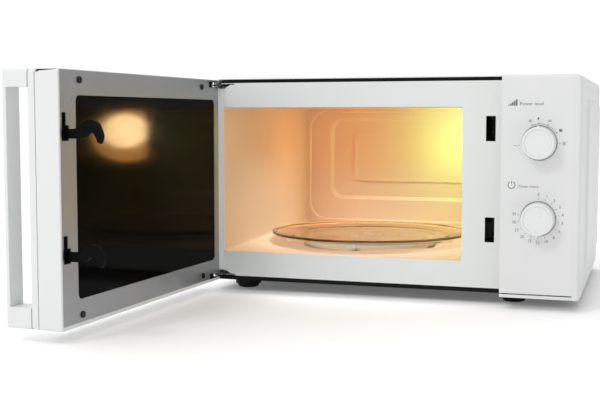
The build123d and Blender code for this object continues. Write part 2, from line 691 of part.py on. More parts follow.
for name, (z, notch) in dials.items():
    with BuildPart() as knob:
        with BuildSketch(Plane((knob_x, 0, z), x_dir=(1, 0, 0), z_dir=(0, 0, 1))):
            with BuildLine():
                floor = Line((0, knob_face_y + dish_depth), (dish_r - 1.2, knob_face_y + dish_depth))
                rise = Spline(floor @ 1, (dish_r + 0.4, knob_face_y), tangents=[(1, 0), (1, -0.4)])
                rim = Line(rise @ 1, (rim_r, knob_face_y))
                edge = Spline(rim @ 1, (knob_r, knob_face_y + 1.6), tangents=[(1, 0), (0.05, 1)])
                Polyline(
                    edge @ 1,
                    (knob_base_r, knob_base_y),
                    (hollow_r, knob_base_y),
                    (hollow_r, knob_base_y - knob_hollow),
                    (hub_r, knob_base_y - knob_hollow),
                    (hub_r, knob_base_y),
                    (shaft_r + 0.02, knob_base_y),
                    (shaft_r + 0.02, knob_base_y - shaft_grip),
                    (0, knob_base_y - shaft_grip),
                    floor @ 0,
                )
            make_face()
        revolve(axis=Axis((knob_x, 0, z), (0, 1, 0)))
        rib_z = sorted((z + notch * 16.6, z + notch * 18.8))
        block((knob_x - 0.9, knob_x + 0.9), (knob_face_y + 0.5, panel_y - 0.4), rib_z)
    knob.part.label = f"{name}_knob"
    export_step(knob.part, f"parts/{name}_knob.step")
    with BuildPart() as shaft:
        rod((knob_x, knob_base_y - shaft_grip + 0.1, z), (0, 1, 0), 50, shaft_r)
    shaft.part.label = f"{name}_shaft"
    export_step(shaft.part, f"parts/{name}_shaft.step")

# ---------------------------------------------------------------- hinges

leaf_t = 2
# Each hinge: height of its leaf, of the plate behind the front, of the web that joins them, and of its pin
hinge_parts = {
    "upper": (251.5, (228, 247.5), (240, 253.5), (245, 257.8)),
    "lower": (19.2, (26, 45), (19.2, 33), (14.2, 28)),
}

for name, (leaf_z, plate_span, web_z, pin_z) in hinge_parts.items():
    with BuildPart() as hinge:
        block((left + 3.2, left + 10.4), (hinge_y - 3.2, front + 14), (leaf_z, leaf_z + leaf_t))
        block((left + 0.3, left + 3.2), (hinge_y - 3.2, front - 0.3), (leaf_z, leaf_z + leaf_t))
        block((left + 3.2, left + 10.4), (front + 12, front + 14), web_z)
        joined_z = (max(web_z[0], plate_span[0]), min(web_z[1], plate_span[1]))
        block((left + 3.2, left + 4.8), (front + sheet, front + 14), joined_z)
        block((left + 3.2, left + 38), (front + sheet, front + 2.6), plate_span)
        rod((hinge_x, hinge_y, pin_z[0]), (0, 0, 1), span(pin_z), pin_r)
    hinge.part.label = f"{name}_hinge"
    export_step(hinge.part, f"parts/{name}_hinge.step")

# ---------------------------------------------------------------- door

swing = radians(door_open)
along = Vector(cos(swing), -sin(swing), 0)
outward_n = Vector(-sin(swing), -cos(swing), 0)


def door_point(u, n, z):
    """Point given along the door, outward from its inner face, and up."""
    return Vector(hinge_x, hinge_y, z) + along * u + outward_n * (n - hinge_inset)


def door_face(n):
    """Plane of the door at a distance outward from its inner face: x along the door, y up."""
    return Plane(door_point(0, n, 0), x_dir=along, z_dir=outward_n)


def door_block(u, n, z, mode=Mode.ADD):
    """Box between limits along the door, outward and up."""
    with Locations(Plane(door_point(middle(u), middle(n), middle(z)), x_dir=along, z_dir=outward_n)):
        Box(span(u), span(z), span(n), mode=mode)


def hinge_notches(depth):
    """Slots at the hinge corners, where the leaves pass."""
    for notch_z in ((249.6, 256.4), (16.4, 23.4)):
        door_block((-3, 26), (-0.1, depth), notch_z, Mode.SUBTRACT)


bay_u, bay_z = (4.5, 326), (30, 243.8)
lip_u, lip_z = (0, 347), (17, 258.2)
channel_u, channel_n, channel_z = (330.5, 345.5), (1, 24), (24, 250)

with BuildPart() as door_frame:
    extrude(outline(door_face(0), door_u, door_z, 3), amount=frame_t)
    inner_face = door_frame.faces().sort_by(Axis(door_point(0, 0, 0), outward_n))[0]
    fillet(inner_face.edges(), 0.8)
    door_block(bay_u, (-1, 29), bay_z, Mode.SUBTRACT)
    extrude(outline(door_face(0), lip_u, lip_z, 1.5), amount=1, mode=Mode.SUBTRACT)
    door_block(channel_u, channel_n, channel_z, Mode.SUBTRACT)
    hinge_notches(7.8)
    for *_, pin_z in hinge_parts.values():
        pin_end = door_point(0, hinge_inset, pin_z[0] - 0.3)
        rod(pin_end, (0, 0, 1), span(pin_z) + 0.6, pin_r + bore_play, Mode.SUBTRACT)
    for u in screw_u:
        for z in screw_z:
            rod(door_point(u, 0.5, z), outward_n, 9, 1.5, Mode.SUBTRACT)
    # Tapered shadow groove along the top of the free edge
    with BuildSketch(Plane(door_point(door_u[1] + 1, 0, 0), x_dir=outward_n, z_dir=-along)):
        with BuildLine():
            Polyline((2.6, 258.5), (24.4, 258.5), (24.4, 255.2), (20, 257), (2.6, 258), close=True)
        make_face()
    extrude(amount=4.6, mode=Mode.SUBTRACT)
door_frame.part.label = "door_frame"
export_step(door_frame.part, "parts/door_frame.step")

with BuildPart() as door_inner_frame:
    extrude(outline(door_face(0), inset(lip_u, 0.1), inset(lip_z, 0.1), 1.4), amount=1)
    extrude(outline(door_face(0), window_u, window_z, 6), amount=1, mode=Mode.SUBTRACT)
    for z in hook_z:
        door_block((332.5, 344.5), (-1, 2), (z + 2.3, z + 16.8), Mode.SUBTRACT)
        door_block((337.5, 344.5), (-1, 2), (z + 16, z + 29), Mode.SUBTRACT)
    hinge_notches(2)
    for u in screw_u:
        for z in screw_z:
            rod(door_point(u, -1, z), outward_n, 3, 1.5, Mode.SUBTRACT)
door_inner_frame.part.label = "door_inner_frame"
export_step(door_inner_frame.part, "parts/door_inner_frame.step")

with BuildPart() as door_screws:
    for u in screw_u:
        for z in screw_z:
            rod(door_point(u, -1.3, z), outward_n, 1.3, 3.4)
            rod(door_point(u, -0.1, z), outward_n, 9, 1.45)
            for arm_u, arm_z in ((2, 0.4), (0.4, 2)):
                door_block((u - arm_u, u + arm_u), (-1.4, -0.5), (z - arm_z, z + arm_z), Mode.SUBTRACT)
door_screws.part.label = "door_screws"
export_step(door_screws.part, "parts/door_screws.step")

glass_n = (1, 4.2)

with BuildPart() as door_inner_glass:
    extrude(outline(door_face(glass_n[0]), inset(window_u, -4), inset(window_z, -3), 6), amount=span(glass_n))
door_inner_glass.part.label = "door_inner_glass"
export_step(door_inner_glass.part, "parts/door_inner_glass.step")

choke_u, choke_z, choke_n = (6, 324.5), (31, 243), (glass_n[1], 20)

with BuildPart() as door_choke_frame:
    extrude(outline(door_face(choke_n[0]), choke_u, choke_z, 4), amount=span(choke_n))
    choke_inside = outline(door_face(choke_n[0] + 1), inset(choke_u, 1), inset(choke_z, 1), 3)
    extrude(choke_inside, amount=30, mode=Mode.SUBTRACT)
    extrude(outline(door_face(0), inset(choke_u, 15), inset(choke_z, 16), 8), amount=30, mode=Mode.SUBTRACT)
door_choke_frame.part.label = "door_choke_frame"
export_step(door_choke_frame.part, "parts/door_choke_frame.step")

mesh_n = (choke_n[0] + 1, choke_n[0] + 1.6)

with BuildPart() as door_mesh_screen:
    extrude(outline(door_face(mesh_n[0]), inset(choke_u, 9), inset(choke_z, 9), 8), amount=span(mesh_n))
door_mesh_screen.part.label = "door_mesh_screen"
export_step(door_mesh_screen.part, "parts/door_mesh_screen.step")

opening_u, opening_z = (36, 296), (52, 220)
pane_n = (31.4, 33.6)

with BuildPart() as door_outer_panel:
    extrude(outline(door_face(frame_t), inset(door_u, 1.2), inset(door_z, 1.2), 2), amount=1)
    extrude(outline(door_face(frame_t + 1), door_u, door_z, 4), amount=door_t - frame_t - 1)
    flat_faces = door_outer_panel.faces().filter_by(GeomType.PLANE)
    fillet(flat_faces.sort_by(Axis(door_point(0, 0, 0), outward_n))[-1].edges(), 2.5)
    extrude(outline(door_face(20), opening_u, opening_z, 8), amount=20, mode=Mode.SUBTRACT)
    rebate = outline(door_face(pane_n[0]), inset(opening_u, -7), inset(opening_z, -7), 12)
    extrude(rebate, amount=9, mode=Mode.SUBTRACT)
    door_block(inset(bay_u, 2), (frame_t - 1, 30), inset(bay_z, 2), Mode.SUBTRACT)
door_outer_panel.part.label = "door_outer_panel"
export_step(door_outer_panel.part, "parts/door_outer_panel.step")

with BuildPart() as door_front_window:
    pane = outline(door_face(pane_n[0]), inset(opening_u, -6.9), inset(opening_z, -6.9), 11.9)
    extrude(pane, amount=span(pane_n))
door_front_window.part.label = "door_front_window"
export_step(door_front_window.part, "parts/door_front_window.step")

handle_u = (328.3, door_u[1])
grip_n = (handle_t - 3.4, handle_t)
finger_gap_z = (34, 242.3)

with BuildPart() as door_handle:
    door_block(handle_u, (door_t, handle_t), door_z)
    handle_top = door_handle.edges().filter_by(lambda e: abs(e.tangent_at(0).dot(outward_n)) > 0.9)
    fillet(handle_top, 4)
    door_block(inset(handle_u, -1), (door_t - 1, grip_n[0]), finger_gap_z, Mode.SUBTRACT)
door_handle.part.label = "door_handle"
export_step(door_handle.part, "parts/door_handle.step")


def hook_outline(z):
    """Hook section across the door: x is the distance inward from the inner face, y is up."""
    with BuildSketch(Plane(door_point(hook_u[0], 0, 0), x_dir=-outward_n, z_dir=along)) as drawn:
        with BuildLine():
            low = Line((-8, z + 4.5), (10, z + 4.5))
            rise = Spline(low @ 1, (20, z + 6.5), (26.5, z + 10.5), tangents=[(1, 0), (1, 0.4)])
            inner = Spline(rise @ 1, (31, z + 7.5), (33.6, z + 1.2), tangents=[(1, 0.2), (0.3, -1)])
            tip = Line(inner @ 1, (36.6, z))
            nose_points = (tip @ 1, (38.6, z + 7), (35.5, z + 16), (28, z + 22))
            nose = Spline(*nose_points, tangents=[(0.4, 1), (-1, 0.25)])
            crest = Spline(nose @ 1, (18, z + 19), (8, z + 13.6), tangents=[(-1, 0.05), (-1, -0.1)])
            Line(crest @ 1, (-8, z + 13.5))
            Line((-8, z + 13.5), low @ 0)
        make_face()
    return drawn.sketch


bar_u, bar_n = (331, 345), (2, 8)

with BuildPart() as latch_bar:
    for z in hook_z:
        extrude(hook_outline(z), amount=span(hook_u))
    door_block(bar_u, bar_n, (60, 226))
latch_bar.part.label = "latch_bar"
export_step(latch_bar.part, "parts/latch_bar.step")

spring_z, spring_r, wire = (34, 60), 2.4, 0.35

with BuildPart() as latch_spring:
    with BuildLine() as coil:
        spring_foot = door_point(middle(bar_u), middle(bar_n), spring_z[0] + wire)
        Helix(pitch=2.6, height=span(spring_z) - 2 * wire, radius=spring_r, center=spring_foot)
    with BuildSketch(Plane(coil.line @ 0, z_dir=coil.line % 0)):
        Circle(wire)
    sweep(path=coil.line)
latch_spring.part.label = "latch_spring"
export_step(latch_spring.part, "parts/latch_spring.step")
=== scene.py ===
"""Looks of the microwave oven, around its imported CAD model.

Lengths are in metres, or in millimetres where a comment says so.
"""

import json
import math

import bmesh
import bpy
from mathutils import Matrix, Vector


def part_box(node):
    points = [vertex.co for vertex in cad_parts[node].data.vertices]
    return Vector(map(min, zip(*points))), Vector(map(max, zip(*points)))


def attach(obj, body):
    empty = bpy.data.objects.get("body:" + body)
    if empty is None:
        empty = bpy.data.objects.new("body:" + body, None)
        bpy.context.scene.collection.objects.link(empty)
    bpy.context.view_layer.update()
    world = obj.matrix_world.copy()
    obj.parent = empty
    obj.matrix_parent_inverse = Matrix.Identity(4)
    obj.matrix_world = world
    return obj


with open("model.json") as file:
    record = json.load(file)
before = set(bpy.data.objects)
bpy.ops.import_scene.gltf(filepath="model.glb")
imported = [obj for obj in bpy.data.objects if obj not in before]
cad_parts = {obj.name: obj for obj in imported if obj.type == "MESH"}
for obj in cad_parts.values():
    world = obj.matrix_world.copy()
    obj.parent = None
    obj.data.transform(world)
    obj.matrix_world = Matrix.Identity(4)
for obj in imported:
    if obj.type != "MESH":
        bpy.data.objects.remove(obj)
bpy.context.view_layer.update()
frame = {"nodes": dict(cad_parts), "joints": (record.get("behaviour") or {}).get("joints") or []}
nodes = frame["nodes"]
MM = 0.001

# ------------------------------------------------------------------ node helpers


def shader(name):
    """A new material with a Principled shader. Returns the material and that shader node."""
    made = bpy.data.materials.new(name)
    made.use_nodes = True
    tree = made.node_tree
    tree.nodes.clear()
    output = tree.nodes.new("ShaderNodeOutputMaterial")
    bsdf = tree.nodes.new("ShaderNodeBsdfPrincipled")
    tree.links.new(bsdf.outputs["BSDF"], output.inputs["Surface"])
    return made, bsdf


def noise(made, scale, stretch=(1, 1, 1), detail=4.0):
    """Value socket of noise over the object's own coordinates, about scale cells in a metre."""
    tree = made.node_tree
    place = tree.nodes.new("ShaderNodeTexCoord")
    mapping = tree.nodes.new("ShaderNodeMapping")
    mapping.inputs["Scale"].default_value = stretch
    texture = tree.nodes.new("ShaderNodeTexNoise")
    texture.inputs["Scale"].default_value = scale
    texture.inputs["Detail"].default_value = detail
    texture.inputs["Roughness"].default_value = 0.55
    tree.links.new(place.outputs["Object"], mapping.inputs["Vector"])
    tree.links.new(mapping.outputs["Vector"], texture.inputs["Vector"])
    return texture.outputs["Fac"]


def spread(made, value, low, high, start=0.3, end=0.7):
    """Maps a value socket from start and end onto low and high, and holds it between them."""
    ranged = made.node_tree.nodes.new("ShaderNodeMapRange")
    ranged.inputs["From Min"].default_value = start
    ranged.inputs["From Max"].default_value = end
    ranged.inputs["To Min"].default_value = low
    ranged.inputs["To Max"].default_value = high
    made.node_tree.links.new(value, ranged.inputs["Value"])
    return ranged.outputs["Result"]


def blend_colour(made, bsdf, value, first, second):
    """Base colour that goes from first to second with a value socket."""
    mix = made.node_tree.nodes.new("ShaderNodeMix")
    mix.data_type = "RGBA"
    mix.inputs["A"].default_value = (*first, 1)
    mix.inputs["B"].default_value = (*second, 1)
    made.node_tree.links.new(value, mix.inputs["Factor"])
    made.node_tree.links.new(mix.outputs["Result"], bsdf.inputs["Base Color"])


def vary_roughness(made, bsdf, value, low, high):
    """Roughness that goes from low to high with a value socket."""
    made.node_tree.links.new(spread(made, value, low, high), bsdf.inputs["Roughness"])


def bump(made, bsdf, value, height, strength):
    """Bump of a height in metres, from a value socket."""
    node = made.node_tree.nodes.new("ShaderNodeBump")
    node.inputs["Strength"].default_value = strength
    node.inputs["Distance"].default_value = height
    made.node_tree.links.new(value, node.inputs["Height"])
    made.node_tree.links.new(node.outputs["Normal"], bsdf.inputs["Normal"])


def scaled(colour, factor):
    """A colour made darker or lighter by a factor."""
    return tuple(min(1, c * factor) for c in colour)


# ------------------------------------------------------------------ materials


def enamel(name, colour, roughness=0.36, specular=0.5):
    """Sprayed enamel on sheet steel, with a faint orange peel."""
    made, bsdf = shader(name)
    blend_colour(made, bsdf, noise(made, 6, detail=2), scaled(colour, 0.98), colour)
    vary_roughness(made, bsdf, noise(made, 14), roughness - 0.03, roughness + 0.05)
    bump(made, bsdf, noise(made, 300, detail=1), 0.000004, 0.4)
    bsdf.inputs["Specular IOR Level"].default_value = specular
    return made


def plastic(name, colour, roughness=0.38, grain=1600, height=0.000005, shade=0.02, specular=0.5):
    """Moulded plastic with a fine spark-eroded grain."""
    made, bsdf = shader(name)
    blend_colour(made, bsdf, noise(made, 9, detail=3), scaled(colour, 1 - shade), colour)
    vary_roughness(made, bsdf, noise(made, 60), roughness - 0.05, roughness + 0.06)
    bump(made, bsdf, noise(made, grain, detail=2), height, 0.4)
    bsdf.inputs["Specular IOR Level"].default_value = specular
    return made


def metal(name, colour, roughness=0.35, stretch=(1, 1, 1), grain=220, anisotropy=0.0):
    """Bare or plated metal; a stretch draws the grain out into brushed lines."""
    made, bsdf = shader(name)
    grained = noise(made, grain, stretch, detail=6)
    blend_colour(made, bsdf, grained, scaled(colour, 0.84), colour)
    vary_roughness(made, bsdf, grained, roughness - 0.06, roughness + 0.08)
    bump(made, bsdf, grained, 0.000006, 0.4)
    bsdf.inputs["Metallic"].default_value = 1.0
    bsdf.inputs["Anisotropic"].default_value = anisotropy
    return made


def rubber(name, colour=(0.005, 0.005, 0.0055), roughness=0.65):
    """Soft moulding with a matt, slightly dusty skin, black unless a colour is given."""
    made, bsdf = shader(name)
    blend_colour(made, bsdf, noise(made, 30), colour, scaled(colour, 1.8))
    vary_roughness(made, bsdf, noise(made, 90), roughness - 0.08, roughness + 0.1)
    bump(made, bsdf, noise(made, 900, detail=3), 0.00002, 0.6)
    bsdf.inputs["Specular IOR Level"].default_value = 0.2
    return made


def clear_glass(name, colour):
    """Pressed clear glass, faintly uneven."""
    made, bsdf = shader(name)
    blend_colour(made, bsdf, noise(made, 12, detail=2), colour, scaled(colour, 1.02))
    bump(made, bsdf, noise(made, 45, detail=1), 0.00002, 0.25)
    bsdf.inputs["Roughness"].default_value = 0.0
    bsdf.inputs["Transmission Weight"].default_value = 1.0
    bsdf.inputs["IOR"].default_value = 1.5
    return made


def black_glass(name):
    """Glass with a black backing: a weak dark mirror with faint wipe marks."""
    made, bsdf = shader(name)
    colour = (0.0012, 0.0012, 0.0012)
    blend_colour(made, bsdf, noise(made, 8), colour, scaled(colour, 1.5))
    vary_roughness(made, bsdf, noise(made, 25, (1, 1, 3)), 0.07, 0.1)
    bsdf.inputs["IOR"].default_value = 1.075
    return made


def smoked_glass(name):
    """Front window: smoked glass that lets some light through."""
    made, bsdf = shader(name)
    blend_colour(made, bsdf, noise(made, 10), (0.015, 0.015, 0.016), (0.02, 0.02, 0.021))
    vary_roughness(made, bsdf, noise(made, 25), 0.03, 0.06)
    bsdf.inputs["Transmission Weight"].default_value = 0.85
    bsdf.inputs["IOR"].default_value = 1.5
    return made


def perforated(name):
    """Black screen with rows of round holes, drawn as a dot pattern."""
    made, bsdf = shader(name)
    tree = made.node_tree
    hole_pitch = 0.0022
    place = tree.nodes.new("ShaderNodeTexCoord")
    cells = tree.nodes.new("ShaderNodeTexVoronoi")
    cells.inputs["Scale"].default_value = 1 / hole_pitch
    cells.inputs["Randomness"].default_value = 0.0
    tree.links.new(place.outputs["Object"], cells.inputs["Vector"])
    # Distances from a hole's middle, in cells, between which its rim lies
    dots = spread(made, cells.outputs["Distance"], 0.0, 1.0, 0.28, 0.34)
    blend_colour(made, bsdf, dots, (0.0, 0.0, 0.0), (0.01, 0.01, 0.0105))
    bump(made, bsdf, dots, 0.0003, 1.0)
    bsdf.inputs["Roughness"].default_value = 0.4
    return made


def printing_ink(name):
    """Matt dark grey ink."""
    made, bsdf = shader(name)
    blend_colour(made, bsdf, noise(made, 300), (0.06, 0.06, 0.065), (0.09, 0.09, 0.095))
    bsdf.inputs["Roughness"].default_value = 0.55
    return made


def darken_beyond(made, limit, colour):
    """Gives another colour to what lies beyond a limit in X."""
    tree = made.node_tree
    base = tree.nodes["Principled BSDF"].inputs["Base Color"]
    place = tree.nodes.new("ShaderNodeTexCoord")
    split = tree.nodes.new("ShaderNodeSeparateXYZ")
    tree.links.new(place.outputs["Object"], split.inputs["Vector"])
    mix = tree.nodes.new("ShaderNodeMix")
    mix.data_type = "RGBA"
    softness = 0.1 * MM
    beyond = spread(made, split.outputs["X"], 0.0, 1.0, limit - softness, limit + softness)
    tree.links.new(beyond, mix.inputs["Factor"])
    tree.links.new(base.links[0].from_socket, mix.inputs["A"])
    mix.inputs["B"].default_value = (*colour, 1)
    tree.links.new(mix.outputs["Result"], base)


def dress(made, *names):
    """Gives CAD nodes a material, and returns it."""
    for name in names:
        nodes[name].data.materials.clear()
        nodes[name].data.materials.append(made)
    return made


WHITE = (0.74, 0.75, 0.745)
BLACK = (0.003, 0.003, 0.003)

# Enamelled sheet
dress(enamel("case_enamel", WHITE), "outer_case")
dress(enamel("front_enamel", (0.77, 0.79, 0.78), 0.33), "front_plate")
dress(enamel("back_sheet", (0.56, 0.57, 0.58), 0.42), "back_panel")
dress(enamel("base_enamel", BLACK, 0.5, specular=0.15), "base_plate")
cavity_enamel = dress(
    enamel("cavity_enamel", (0.80, 0.58, 0.41), 0.34), "cavity_shell", "cavity_back"
)
# Painted shade: the far side of the cavity's right wall is coloured near black where it shows
# through a latch slot
shell_low, shell_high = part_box("cavity_shell")
darken_beyond(cavity_enamel, shell_high.x - 0.5 * MM, (0.004, 0.004, 0.004))

# Plastic and rubber
dress(
    plastic("white_plastic", WHITE),
    "control_panel", "panel_trim", "door_frame", "door_outer_panel", "door_handle",
)
dress(plastic("knob_plastic", (0.77, 0.78, 0.78), 0.3), "power_knob", "timer_knob")
dress(plastic("grey_plastic", (0.62, 0.63, 0.62), 0.5), "fan_duct", "power_selector")
dress(
    plastic("ivory_plastic", (0.76, 0.72, 0.62), 0.45),
    "roller_ring", "roller_1", "roller_2", "roller_3", "turntable_coupler", "fan_impeller",
)
# Painted shade in part: the lamp holder is black, and this stands in for the shade behind the
# cavity's vent holes
dress(
    plastic("black_plastic", (0.003, 0.003, 0.0033), 0.55, shade=0.3, specular=0.06),
    "latch_bar", "cord_gland", "door_switches", "hv_diode", "latch_board", "lamp_holder",
)
dress(
    plastic("dark_lever", (0.012, 0.012, 0.013), 0.45), "upper_switch_lever", "lower_switch_lever"
)
dress(plastic("mica", (0.5, 0.42, 0.32), 0.5, 300, 0.00002, 0.15), "waveguide_cover")
dress(plastic("board", (0.3, 0.2, 0.08), 0.5, shade=0.2), "filter_board")
# Painted shade in part: the top seal is a black rubber strip, and its black stands in for the
# shadow in the slit above the front plate
dress(rubber("black_rubber"), "feet", "top_seal")
dress(rubber("red_wire", (0.3, 0.02, 0.015), 0.5), "wiring_harness")

# Metal
satin_steel = dress(
    metal("satin_steel", (0.41, 0.42, 0.44), 0.4, (1, 1, 14), 90, anisotropy=0.2),
    "door_inner_frame",
)
dress(
    metal("zinc", (0.62, 0.63, 0.64), 0.3),
    "upper_hinge", "lower_hinge", "case_screws", "waveguide", "magnetron_body",
    "magnetron_filter_box", "turntable_motor", "timer_unit", "power_shaft", "timer_shaft",
    "door_choke_frame", "latch_spring",
)
dress(metal("bare_aluminium", (0.74, 0.75, 0.77), 0.28), "magnetron_fins", "hv_capacitor")
dress(metal("core_steel", (0.25, 0.24, 0.23), 0.5, (1, 1, 30), 60), "transformer_core", "fan_motor")
dress(metal("copper_wire", (0.55, 0.24, 0.1), 0.35, (1, 1, 40), 80), "transformer_windings")
dress(metal("black_zinc", (0.04, 0.04, 0.042), 0.35), "door_screws")

# Glass and the door's screen
dress(clear_glass("plate_glass", (0.9, 0.76, 0.58)), "turntable_plate")
dress(clear_glass("bulb_glass", (1.0, 0.95, 0.85)), "lamp_bulb")
dress(black_glass("inner_glass"), "door_inner_glass")
dress(smoked_glass("window_glass"), "door_front_window")
dress(perforated("screen"), "door_mesh_screen")

# ------------------------------------------------------------------ outlines and pieces


def piece(name, mesh, made, body):
    """A new object from a mesh, with its material and body."""
    mesh.materials.clear()
    mesh.materials.append(made)
    made_object = bpy.data.objects.new(name, mesh)
    bpy.context.scene.collection.objects.link(made_object)
    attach(made_object, body)


def slab(made, corners, thickness, place):
    """Adds a flat closed plate to a bmesh: an outline in the local XY plane, raised along Z."""
    low = [made.verts.new(place @ Vector((x, y, 0))) for x, y in corners]
    high = [made.verts.new(place @ Vector((x, y, thickness))) for x, y in corners]
    made.faces.new(high)
    made.faces.new(list(reversed(low)))
    for k in range(len(corners)):
        after = (k + 1) % len(corners)
        made.faces.new((low[k], low[after], high[after], high[k]))


def finished_mesh(name, made):
    """Turns a bmesh into mesh data with its faces outward."""
    bmesh.ops.recalc_face_normals(made, faces=made.faces)
    mesh = bpy.data.meshes.new(name)
    made.to_mesh(mesh)
    made.free()
    return mesh


def polar(radius, angle):
    """Point at a radius. Here and below, an angle is clockwise from the top, in degrees."""
    return radius * math.sin(math.radians(angle)), radius * math.cos(math.radians(angle))


def bar(x, y, width, height):
    """Outline of a rectangle about a point."""
    w, h = width / 2, height / 2
    return [(x - w, y - h), (x + w, y - h), (x + w, y + h), (x - w, y + h)]


def disc(radius):
    """Outline of a small round plate."""
    return [polar(radius, angle) for angle in range(0, 360, 20)]


def arc_band(radius, width, start, end):
    """Outline of a thin band outside an arc."""
    steps = 24
    angles = [start + (end - start) * k / steps for k in range(steps + 1)]
    outer = [polar(radius + width, angle) for angle in angles]
    return outer[::-1] + [polar(radius, angle) for angle in angles]


def tick(radius, length, width, angle):
    """Outline of a radial mark."""
    out = Vector(polar(1, angle))
    across = Vector((out.y, -out.x))
    ends = [(radius, -1), (radius, 1), (radius + length, 1), (radius + length, -1)]
    return [tuple(out * r + across * side * width / 2) for r, side in ends]


def moved(outline, dx, dy):
    """An outline moved along."""
    return [(x + dx, y + dy) for x, y in outline]


def joint(name):
    """The frame's record of a joint."""
    return next(found for found in frame["joints"] if found["name"] == name)


def joint_place(name):
    """Where a joint's axis passes, at rest."""
    return Vector(joint(name)["pos_m"])


# ------------------------------------------------------------------ printing on the control panel

ink_thickness = 0.06 * MM
panel_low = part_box("control_panel")[0]
power_at, timer_at = joint_place("power_turn"), joint_place("timer_turn")

# Glyphs, in millimetres about their middle
wave = [
    (-1.8, -0.3), (-0.9, 0.5), (0, -0.3), (0.9, 0.5), (1.8, -0.3),
    (1.8, 0.2), (0.9, 1.0), (0, 0.2), (-0.9, 1.0), (-1.8, 0.2),
]
wave_gap = 1.4
waves = {
    count: [moved(wave, 0, wave_gap * (k - (count - 1) / 2) - 0.3) for k in range(count)]
    for count in (1, 2, 3)
}
star = [tick(0.3, 1.7, 0.45, angle) for angle in range(0, 360, 60)]
drop = [[polar(0.9 + 1.2 * max(0, polar(1, angle)[1]) ** 6, angle) for angle in range(0, 360, 24)]]
pot = [bar(0, -0.3, 3.2, 1.8), bar(0, 1.1, 3.8, 0.5), bar(0, 1.8, 0.9, 0.5)]
clock = [arc_band(3.4, 0.8, 30, 330), bar(0, 2.6, 0.7, 3.6)]
power_steps = [bar(2.1 * k - 4.6, 0.75 * k - 3.0, 1.5, 1.5 * k + 1.0) for k in range(5)]

# Power settings, each with its angle on the dial and its glyph
power_marks = [
    (-97, waves[1]), (-23, star), (-3.5, drop), (24, waves[2]), (58.6, pot), (91, waves[3]),
]
# Minutes, at even steps round the timer
timer_marks = [0, 1, 2, 3, 4, 5, 6, 8, 10, 12, 15, 20, 25, 30, 35]
timer_step = 20
# Radii and sizes of both dials, in millimetres
arc_radius, arc_width = 20.6, 0.35
tick_radius, tick_length, tick_width = 20.9, 1.7, 0.45
glyph_radius, number_radius, number_height = 26.2, 26.4, 4.6


def on_panel(x, z):
    """Placement on the panel's face: local X to the right and Y up in millimetres, Z outward."""
    facing = Matrix(((1, 0, 0), (0, 0, -1), (0, 1, 0))).to_4x4()
    return Matrix.Translation((x, panel_low.y, z)) @ facing @ Matrix.Diagonal((MM, MM, 1, 1))


def add_text(made, words, height, place, align="CENTER"):
    """Adds raised characters to a bmesh, from the built-in font."""
    curve = bpy.data.curves.new("words", "FONT")
    curve.body = words
    curve.size = height
    curve.extrude = ink_thickness / 2
    curve.resolution_u = 2
    curve.align_x = align
    curve.align_y = "CENTER"
    carrier = bpy.data.objects.new("words", curve)
    mesh = bpy.data.meshes.new_from_object(carrier)
    mesh.transform(place)
    made.from_mesh(mesh)
    bpy.data.objects.remove(carrier)
    bpy.data.curves.remove(curve)
    bpy.data.meshes.remove(mesh)


def caption(made, glyph, words, height, x, z):
    """Adds a heading above a dial: its glyph, then its words to the right and a little lower."""
    for outline in glyph:
        slab(made, outline, ink_thickness, on_panel(x, z))
    add_text(made, words, height, on_panel(x + 7 * MM, z - 1.5 * MM), align="LEFT")


def power_print():
    """Scale, arc and heading around the power knob."""
    made = bmesh.new()
    place = on_panel(power_at.x, power_at.z)
    slab(made, arc_band(arc_radius, arc_width, -26, 60), ink_thickness, place)
    for angle, glyph in power_marks:
        slab(made, tick(tick_radius, tick_length, tick_width, angle), ink_thickness, place)
        for outline in glyph:
            slab(made, moved(outline, *polar(glyph_radius, angle)), ink_thickness, place)
    caption(made, power_steps, "Power level", 5.4, panel_low.x + 12.5 * MM, power_at.z + 44 * MM)
    return finished_mesh("power_print", made)


def timer_print():
    """Scale, numbers and heading around the timer knob."""
    made = bmesh.new()
    place = on_panel(timer_at.x, timer_at.z)
    for k, minutes in enumerate(timer_marks):
        angle = k * timer_step
        slab(made, tick(tick_radius, tick_length, tick_width, angle), ink_thickness, place)
        number_place = place @ Matrix.Translation((*polar(number_radius, angle), 0))
        add_text(made, str(minutes), number_height, number_place)
    caption(made, clock, "Timer (min)", 4.5, panel_low.x + 12 * MM, timer_at.z + 36.5 * MM)
    return finished_mesh("timer_print", made)


print_grey = printing_ink("print_grey")
piece("power_scale_print", power_print(), print_grey, "oven")
piece("timer_scale_print", timer_print(), print_grey, "oven")

# ------------------------------------------------------------------ small pieces on the door

hinge_at = joint_place("door_swing")
door_turn = math.radians(joint("door_swing")["range_deg"][1])
# In millimetres: how far out from the door's inner face its hinge axis lies, the heights of its
# two hinge cut-outs, and how far along the door the groove on its free edge has its bottom
hinge_inset = 3.5
upper_cutout, lower_cutout = (249.65, 256.35), (16.45, 23.35)
groove_bottom = 346.1
# Painted shade: near-black rubber for linings that stand in for the shadow in the hinge cut-outs
# and in the groove on the door's free edge
painted_shade_black = rubber("painted_shade_black", BLACK, 0.8)


def on_door(u, n, z):
    """Placement on the open door: u along it from its hinge, n outward from its inner face, z up.

    What is drawn there has local X along the door, Y up and Z inward. All is in millimetres.
    """
    along = Vector((math.cos(door_turn), -math.sin(door_turn), 0))
    inward = Vector((math.sin(door_turn), math.cos(door_turn), 0))
    origin = Vector((hinge_at.x, hinge_at.y, 0))
    place = origin + (along * u - inward * (n - hinge_inset) + Vector((0, 0, z))) * MM
    axes = Matrix((along, Vector((0, 0, 1)), inward)).transposed().to_4x4()
    return Matrix.Translation(place) @ axes @ Matrix.Diagonal((MM, MM, MM, 1))


